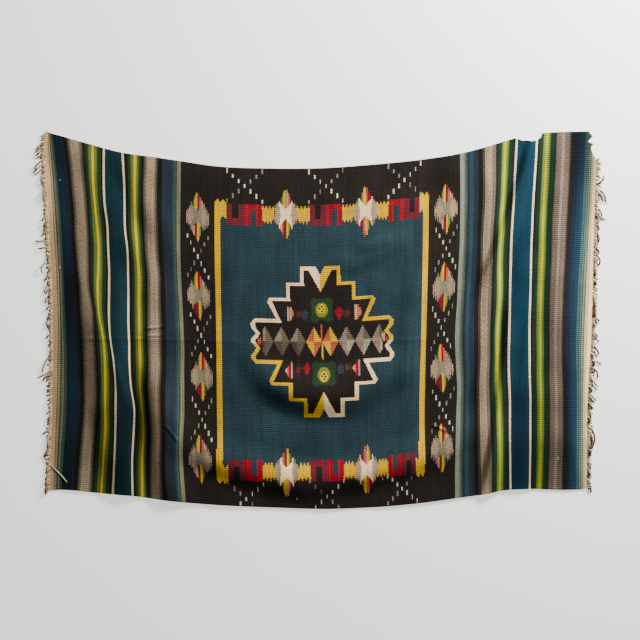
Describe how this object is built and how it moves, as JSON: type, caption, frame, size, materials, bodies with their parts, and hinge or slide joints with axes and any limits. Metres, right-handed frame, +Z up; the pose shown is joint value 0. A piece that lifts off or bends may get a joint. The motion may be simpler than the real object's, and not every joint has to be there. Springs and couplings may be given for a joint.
{
  "type": "mexican serape",
  "caption": "Wool serape laid out flat: striped ends, a bordered field with a stepped medallion, and a short fringe at both ends.",
  "frame": {"origin": "on the surface the serape lies on, below the middle of its bounding box", "axes": "+X along the warp (the length), +Y across the loom width, +Z up off the surface"},
  "size_m": [1.967, 1.2881, 0.0187],
  "materials": {
    "woven_wool": "matte weft-faced wool tapestry",
    "fringe_wool": "matte undyed wool yarn"
  },
  "bodies": {
    "root": {"serape_cloth": "woven_wool", "fringe_left": "fringe_wool", "fringe_right": "fringe_wool"}
  },
  "joints": []
}
